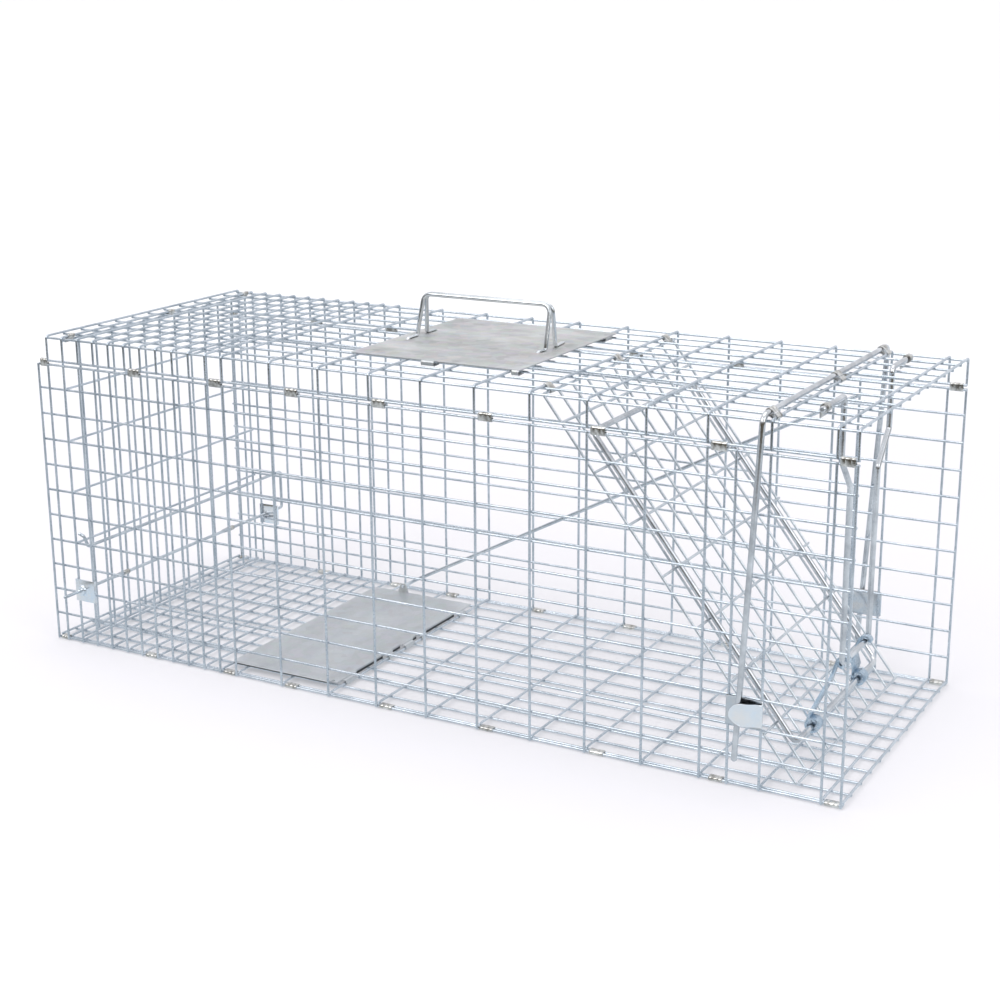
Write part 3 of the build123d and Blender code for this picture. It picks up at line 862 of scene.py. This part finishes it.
foot_z = plate_high.z + 2.05
grip_z = handle_high.z - HANDLE
rear_slit = CAGE_REAR + 331.0
front_slit = CAGE_REAR + 467.5
RIGHT_SLIT_Y, LEFT_SLIT_Y = -13.0, 37.0
FOOT_BENDS = [0, 2.5, 2.5, 8.0, 8.0, 2.5, 2.5, 0]


def pressed_foot(point):
    """The feet of the handle are hammered flat where they lie on the plate."""
    low = foot_z + 0.6
    return 0.5 + 0.5 * min(1.0, max(0.0, (point.z - low) / 4.0)) if point.z > foot_z - 1.5 else 0.6


# Each wire of the handle: y of its grip, of its rear and front legs' feet, and of its slits.
handle = Shape()
for grip_y, rear_y, front_y, slit_y in ((6.6, 4.5, -3.5, RIGHT_SLIT_Y), (10.8, 21.5, 15.0, LEFT_SLIT_Y)):
    path = [
        (rear_slit, slit_y, handle_low.z), (rear_slit, slit_y, foot_z), (rear_slit, rear_y, foot_z),
        (rear_slit + 6.5, grip_y, grip_z), (front_slit + 2.5, grip_y, grip_z),
        (front_slit + 3.0, front_y, foot_z), (front_slit, slit_y, foot_z), (front_slit, slit_y, handle_low.z),
    ]
    tube(handle, wavy(split(bends(path, FOOT_BENDS), 4.0), 0.03), HANDLE, 18, squash=pressed_foot)
handle.make("carry_handle_wires", "cage", "handle_wire", ["carry_handle"])

# ---------------------------------------------------------------------------
# Sheet pieces
# ---------------------------------------------------------------------------
guard = Shape()
body_z = plate_high.z
slits = [
    rounded_box(x - 2.6, y - 5.0, x + 2.6, y + 5.0, 1.8, 3)
    for x in (rear_slit, front_slit)
    for y in (RIGHT_SLIT_Y, LEFT_SLIT_Y)
]


def guard_place(x, y, level):
    """Thin sheet that dips and lifts a fraction of a millimetre."""
    ripple = 0.16 * math.sin(x * 0.043 + 1.1) * math.sin(y * 0.036) + 0.10 * math.sin(x * 0.09 + y * 0.07)
    inset = min(x - plate_low.x, plate_high.x - x, y - plate_low.y, plate_high.y - y)
    hold = min(1.0, inset / 15.0)
    return Vector((x, y, level + ripple * max(0.0, hold)))


sheet(
    guard,
    rounded_box(plate_low.x + 0.1, plate_low.y + 0.1, plate_high.x - 0.1, plate_high.y - 0.1, 3.0),
    slits, body_z - 0.95, body_z - 0.02, 7.0, guard_place,
)


def hook_tab(shape, middle, outward, across, half, drop, inward, thickness=1.0):
    """Tab folded down over the sheet's edge and back under a wire."""
    path = [(-6.0, 0.0), (-1.6, 0.0)] + arc(-1.6, -1.6, 1.6, 90, 0, 5)[1:]
    path += [(0.0, -drop + 1.6)] + arc(-1.6, -drop + 1.6, 1.6, 0, -90, 5)[1:] + [(-inward, -drop)]
    widths = [half] * (len(path) - 1) + [half - 1.2]
    strip(shape, path, widths, thickness, across, middle, outward, Z)


# Rear tabs by y, then the front tab by y, then the right side's tabs by x and half width.
centre_z = body_z - 0.5
for y in (-37.3, 62.2):
    hook_tab(guard, Vector((plate_low.x + 0.5, y, centre_z)), -X, Y, 6.0, 4.0, 10.0)
hook_tab(guard, Vector((plate_high.x - 0.5, 87.0, centre_z)), X, Y, 7.0, 4.0, 12.0)
for x, half in ((-6.0, 6.5), (81.4, 3.5)):
    hook_tab(guard, Vector((x, plate_low.y - 1.3, centre_z)), -Y, X, half, 4.2, 12.0)
guard.make("guard_plate_sheet", "cage", "guard_sheet", ["handle_guard_plate"])

pan = Shape()
wire = joint_point("pan_tilt")
pan_top = 8.0
pan_mid = pan_top - 0.5
pan_front = wire.x - 2.0
PAN_LEFT = 115.0


def pan_place(x, y, level):
    """Pressed sheet, very slightly dished."""
    u = (x - pan_low.x) / (pan_front - pan_low.x)
    v = (y - pan_low.y) / (PAN_LEFT - pan_low.y)
    dish = 0.35 * math.sin(math.pi * max(0, min(1, u))) * math.sin(math.pi * max(0, min(1, v)))
    return Vector((x, y, level - dish))


# (low, high) y of the tabs rolled round the floor wire, and of the slots between them.
tab_spans = [(-122.0, -102.0), (-48.0, -38.5), (-18.0, -2.5), (12.0, 22.5), (85.0, 97.0)]
slots = [(-99.5, -51.0), (-36.5, -20.0), (0.5, 10.0), (25.0, 83.0)]
slot_depth = 2.0
outline = [
    (pan_front - 1.0, 114.9), (pan_low.x + 1.6, 114.9), (pan_low.x + 0.1, 113.4),
    (pan_low.x + 0.1, pan_low.y + 2.4), (pan_low.x + 1.6, pan_low.y + 0.9),
    (pan_front - 8.0, pan_low.y + 0.9), (pan_front - 6.6, pan_low.y + 5.2),
    (pan_front - 4.6, pan_low.y + 5.2), (pan_front - 3.4, pan_low.y + 1.4), (pan_front, pan_low.y + 1.4),
]
for low_y, high_y in slots:
    outline += [
        (pan_front, low_y), (pan_front - slot_depth, low_y + 0.8),
        (pan_front - slot_depth, high_y - 0.8), (pan_front, high_y),
    ]
outline += [(pan_front, 113.9)]
sheet(pan, outline, [], pan_top - 1.0, pan_top, 8.0, pan_place)
lip = [(-4.0, 0.0), (-0.9, 0.0)] + arc(-0.9, -0.9, 0.9, 90, 0, 4)[1:] + [(0.0, -1.9)]
lip_low, lip_high = pan_low.x + 1.2, pan_front - 8.5
lip_middle = Vector(((lip_low + lip_high) / 2, pan_low.y + 0.5, pan_mid))
strip(pan, lip, (lip_high - lip_low) / 2, 0.9, X, lip_middle, -Y, Z)
front_lip = lip[:-1] + [(0.0, -3.3)]
for low_y, high_y in slots:
    slot_middle = Vector((pan_front - slot_depth, (low_y + high_y) / 2, pan_mid))
    strip(pan, front_lip, (high_y - low_y) / 2 - 1.0, 0.9, Y, slot_middle, X, Z)
roll = [(pan_front - 3.0, pan_mid), (pan_front - 0.2, pan_mid), (wire.x + 0.6, pan_top - 1.3)]
roll += arc(wire.x, wire.z, 1.55, 55, -215, 16)
for low_y, high_y in tab_spans:
    strip(pan, roll, (high_y - low_y) / 2, 0.75, Y, Vector((0, (low_y + high_y) / 2, 0)), X, Z)


def ear_place(x, z, level):
    """The pan's ear stands upright, across the cage."""
    return Vector((x, level, z))


EAR_BORE = 1.95
EAR_OUTER, EAR_INNER = 114.02, 114.98
ear_outline = [(-6.5, 7.2), (-3.4, 15.9), (-2.2, 17.2), (2.2, 17.2), (3.4, 15.9), (6.5, 7.2)]
ear_loop = [(pin.x + x, z) for x, z in ear_outline]
ear_angles = [k * math.pi / 8 for k in range(16)]
ear_hole = [(pin.x + EAR_BORE * math.cos(a), pin.z + EAR_BORE * math.sin(a)) for a in ear_angles]
sheet(pan, ear_loop[::-1], [ear_hole], EAR_INNER, EAR_OUTER, 4.0, ear_place)
pan.make("treadle_pan_sheet", "treadle_pan", "pan_sheet", ["treadle_pan"])

# Front keepers: base behind the brace arm, folded at the front into a tongue with a rounded end.
KEEPER_Z = 66.6
KEEPER_BASE_HALF = 12.3
TONGUE_HALF = 9.7
TONGUE_STEPS = 18
for side, label in ((-1, "right"), (1, "left")):
    node = "front_keeper_" + label
    low, high = box_mm(node)
    fold_x = high.x - 1.75
    base = [(low.x + 0.5, 148.7), (low.x + 0.5, 149.9)] + arc(low.x + 1.55, 149.9, 1.05, 180, 90, 4)[1:]
    fold = arc(fold_x, 152.2, 1.25, -90, 80, 8)
    path = base + [(320.0, 150.95)] + fold
    halves = [KEEPER_BASE_HALF] * (len(base) + 1)
    halves += [KEEPER_BASE_HALF - 2.6 * k / (len(fold) - 1) for k in range(len(fold))]
    tip = low.x + 6.2
    start_x = fold_x - 1.5
    for k in range(1, TONGUE_STEPS + 1):
        x = start_x - (start_x - tip) * k / TONGUE_STEPS
        climb = min(1.0, max(0.0, (start_x - x) / 11.0))
        climb = climb * climb * (3 - 2 * climb)
        inward = max(0.0, (tip + 11.5 - x) / 11.5)
        path.append((x, 153.5 + 4.05 * climb + 1.9 * max(0.0, (tip + 7.0 - x) / 7.0) ** 2))
        halves.append(max(1.8, TONGUE_HALF * math.sqrt(max(0.0, 1 - inward ** 2.2))))
    keeper = Shape()
    strip(keeper, path, halves, 0.95, Z, Vector((0, 0, KEEPER_Z)), X, Y * side)
    keeper.make(node + "_sheet", "cage", "keeper_sheet", [node], "folded_keeper_sheet")


FLAT_ANGLE = math.radians(1.5)
EDGE_ANGLE = math.radians(35)
ROUNDED_SMOOTH_ANGLE = math.radians(50)
SAME_PLACE = 2e-6


def rounded_part(node, body, slot, width):
    """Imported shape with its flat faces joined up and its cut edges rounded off."""
    work = bmesh.new()
    work.from_mesh(frame["nodes"][node].data)
    bmesh.ops.remove_doubles(work, verts=work.verts, dist=SAME_PLACE)
    bmesh.ops.dissolve_limit(work, angle_limit=FLAT_ANGLE, verts=work.verts, edges=work.edges)
    sharp = [e for e in work.edges if len(e.link_faces) == 2 and e.calc_face_angle(0) > EDGE_ANGLE]
    bmesh.ops.bevel(
        work, geom=sharp, offset=width * MM, segments=2, profile=0.5, affect="EDGES", clamp_overlap=True
    )
    bmesh.ops.triangulate(work, faces=[f for f in work.faces if len(f.verts) > 4])
    name = node + "_rounded"
    mesh = bpy.data.meshes.new(name)
    work.to_mesh(mesh)
    work.free()
    mesh.shade_smooth()
    mesh.set_sharp_from_angle(angle=ROUNDED_SMOOTH_ANGLE)
    add_piece(name, mesh, slot, body, [node])


for label in ("right", "left"):
    rounded_part("rear_keeper_" + label, "cage", "keeper_sheet", 0.22)
for label in ("right", "left"):
    rounded_part("lock_link_" + label, "lock_link_" + label, "link_plate", 0.4)
rounded_part("lock_frame_pin_clips", "cage", "clip_sheet", 0.2)

# ---------------------------------------------------------------------------
# Stage, light, camera
# ---------------------------------------------------------------------------
# Level directions of the photo's view.
AWAY = Vector((-0.489, 0.872, 0.0))
RIGHT = Vector((0.872, 0.489, 0.0))

DARK_ROOM = (0.13, 0.118, 0.095, 1)
# Painted shade: the paper near the trap is darker and lilac.
NEAR_PAPER_PAINTED_SHADE = (0.605, 0.590, 0.625, 1)
FAR_PAPER = (0.81, 0.80, 0.82, 1)
BRIGHT_FLOOR = (0.70, 0.755, 0.81, 1)
BRIGHT_ROOM = (0.88, 0.90, 0.94, 1)
PAPER_GLOW = 0.22


def along_view(tree, source, direction):
    """How far a direction or a place lies along one of the camera's level directions."""
    dot = tree.nodes.new("ShaderNodeVectorMath")
    dot.operation = "DOT_PRODUCT"
    dot.inputs[1].default_value = direction
    node_link(tree, source, dot.inputs[0])
    return dot.outputs["Value"]


def studio_floor_material():
    """Pale paper to the camera, with painted shade darkening it near the trap; every other ray sees it glow
    round the trap and dark towards the camera.
    """
    material = bpy.data.materials.new("studio_floor")
    material.use_nodes = True
    tree = material.node_tree
    shader = tree.nodes["Principled BSDF"]
    shader.inputs["Roughness"].default_value = 0.9
    place = tree.nodes.new("ShaderNodeNewGeometry").outputs["Position"]
    reach = tree.nodes.new("ShaderNodeVectorMath")
    reach.operation = "LENGTH"
    node_link(tree, place, reach.inputs[0])
    # Painted shade: the paper darkens from far off towards the trap.
    paper = colour_mix(tree)
    paper.inputs[6].default_value = NEAR_PAPER_PAINTED_SHADE
    paper.inputs[7].default_value = FAR_PAPER
    node_link(tree, remap(tree, reach.outputs["Value"], 0.8, 2.2, smooth=True), paper.inputs[0])
    node_link(tree, paper.outputs[2], shader.inputs["Base Color"])
    glow = tree.nodes.new("ShaderNodeEmission")
    glow.inputs["Strength"].default_value = PAPER_GLOW
    both = tree.nodes.new("ShaderNodeAddShader")
    node_link(tree, shader.outputs["BSDF"], both.inputs[0])
    node_link(tree, glow.outputs["Emission"], both.inputs[1])
    mirrored = tree.nodes.new("ShaderNodeEmission")
    tone = colour_mix(tree)
    tone.inputs[6].default_value = DARK_ROOM
    tone.inputs[7].default_value = BRIGHT_FLOOR
    depth = remap(tree, along_view(tree, place, AWAY), -1.35, -0.85, smooth=True)
    strength = remap(tree, along_view(tree, place, RIGHT), -1.1, 1.0, 0.90, 1.14, smooth=True)
    node_link(tree, depth, tone.inputs[0])
    node_link(tree, tone.outputs[2], mirrored.inputs["Color"])
    node_link(tree, strength, mirrored.inputs["Strength"])
    ray = tree.nodes.new("ShaderNodeLightPath")
    mix = tree.nodes.new("ShaderNodeMixShader")
    node_link(tree, ray.outputs["Is Camera Ray"], mix.inputs["Fac"])
    node_link(tree, mirrored.outputs["Emission"], mix.inputs[1])
    node_link(tree, both.outputs["Shader"], mix.inputs[2])
    node_link(tree, mix.outputs["Shader"], tree.nodes["Material Output"].inputs["Surface"])
    return material


floor_mesh = bpy.data.meshes.new("studio_floor")
FLOOR = 90
floor_corners = [(-FLOOR, -FLOOR, 0), (FLOOR, -FLOOR, 0), (FLOOR, FLOOR, 0), (-FLOOR, FLOOR, 0)]
floor_mesh.from_pydata(floor_corners, [], [(0, 1, 2, 3)])
floor = bpy.data.objects.new("studio_floor", floor_mesh)
floor_mesh.materials.append(studio_floor_material())
bpy.context.scene.collection.objects.link(floor)


def studio_world():
    """White to the camera and to diffuse rays; metal mirrors a room that is dark behind the camera."""
    world = bpy.data.worlds.new("studio")
    world.use_nodes = True
    tree = world.node_tree
    tree.nodes.clear()
    output = tree.nodes.new("ShaderNodeOutputWorld")
    blend = tree.nodes.new("ShaderNodeMixShader")
    seen = tree.nodes.new("ShaderNodeBackground")
    seen.inputs["Color"].default_value = (1, 1, 1, 1)
    around = tree.nodes.new("ShaderNodeBackground")
    ray = tree.nodes.new("ShaderNodeLightPath")
    direction = tree.nodes.new("ShaderNodeTexCoord").outputs["Generated"]
    overhead = remap(tree, axes_of(tree, direction)["Z"], 0.10, 0.50, smooth=True)
    backdrop = remap(tree, along_view(tree, direction, AWAY), -0.15, 0.45, smooth=True)
    ramp = tree.nodes.new("ShaderNodeValToRGB")
    ramp.color_ramp.elements[0].color = DARK_ROOM
    ramp.color_ramp.elements[1].color = BRIGHT_ROOM
    node_link(tree, combine(tree, "MAXIMUM", overhead, backdrop), ramp.inputs["Fac"])
    node_link(tree, ramp.outputs["Color"], around.inputs["Color"])
    plain = combine(tree, "MAXIMUM", ray.outputs["Is Camera Ray"], ray.outputs["Is Diffuse Ray"])
    node_link(tree, plain, blend.inputs["Fac"])
    node_link(tree, around.outputs["Background"], blend.inputs[1])
    node_link(tree, seen.outputs["Background"], blend.inputs[2])
    node_link(tree, blend.outputs["Shader"], output.inputs["Surface"])
    return world


bpy.context.scene.world = studio_world()


def softbox(name, place, target, size, power, tint=(1, 1, 1)):
    """Rectangular area light at a place, turned to its target."""
    data = bpy.data.lights.new(name, "AREA")
    data.shape = "RECTANGLE"
    data.size, data.size_y = size
    data.energy = power
    data.color = tint
    lamp = bpy.data.objects.new(name, data)
    lamp.location = place
    lamp.rotation_euler = (Vector(target) - Vector(place)).to_track_quat("-Z", "Y").to_euler()
    bpy.context.scene.collection.objects.link(lamp)


softbox("key", (-0.9, -2.2, 2.3), (0, 0, 0.1), (2.2, 1.6), 28)
softbox("fill", (2.6, -0.9, 1.4), (0, 0, 0.15), (1.6, 1.6), 12, (0.95, 0.98, 1.0))
softbox("top", (0, 0.3, 2.8), (0, 0, 0), (3.0, 2.0), 18)

# The photo's camera, solved from the welded mesh: place, and its right, up and back directions.
CAMERA_PLACE = (0.79833, -1.39501, 0.62206)
CAMERA_AXES = (
    Vector((0.87298786, 0.48771266, -0.00534367)),
    Vector((-0.1301435, 0.24348288, 0.9611341)),
    Vector((0.47005836, -0.83836296, 0.27603023)),
)
camera_data = bpy.data.cameras.new("camera")
camera_data.lens = 64.253
camera_data.sensor_width = 36.0
camera_data.clip_start = 0.01
camera_data.clip_end = 300
camera = bpy.data.objects.new("camera", camera_data)
camera.matrix_world = Matrix.Translation(CAMERA_PLACE) @ Matrix(CAMERA_AXES).transposed().to_4x4()
bpy.context.scene.collection.objects.link(camera)
bpy.context.scene.camera = camera
bpy.context.scene.view_settings.view_transform = "Standard"
